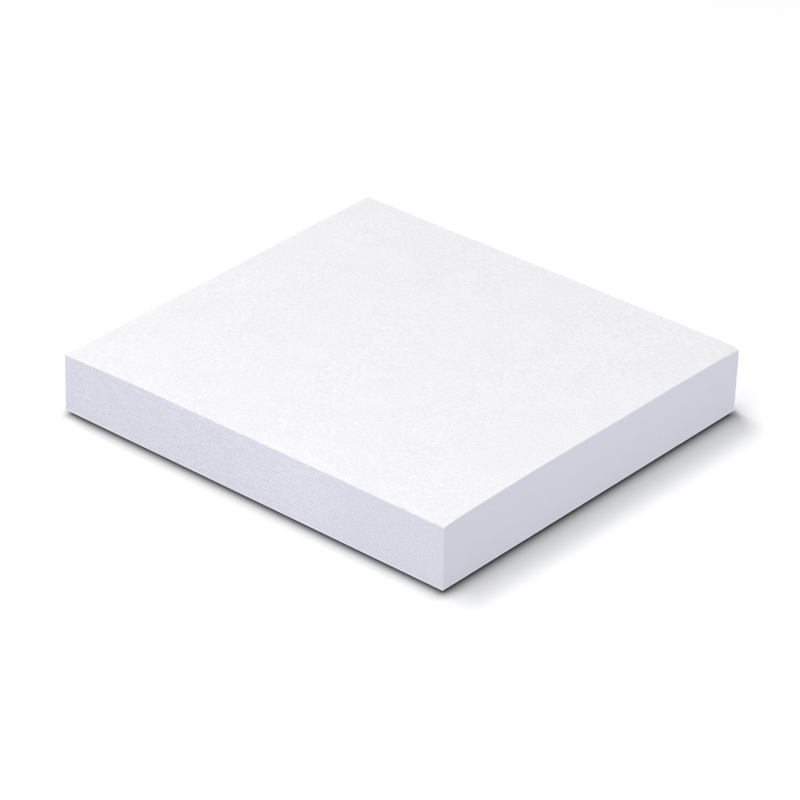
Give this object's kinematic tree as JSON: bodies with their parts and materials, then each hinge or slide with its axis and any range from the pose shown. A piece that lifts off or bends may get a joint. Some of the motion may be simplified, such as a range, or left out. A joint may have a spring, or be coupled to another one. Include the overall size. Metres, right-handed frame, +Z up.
{
  "type": "sticky note pad",
  "caption": "Low rectangular pad of blank white sticky notes, glued along one edge, on a plain backing sheet.",
  "frame": {"origin": "middle of the underside of the backing sheet, on the surface that the pad stands on", "axes": "+Z up through the stack, +X along the long side of the notes towards the glued edge, Y along the glued edge"},
  "size_m": [0.0762, 0.0698, 0.0111],
  "materials": {
    "note_paper": "uncoated white paper, matte",
    "backing_paper": "smooth white paper, matte, a little denser than the notes"
  },
  "bodies": {
    "root": {"note_block": "note_paper", "backing_sheet": "backing_paper"}
  },
  "joints": []
}
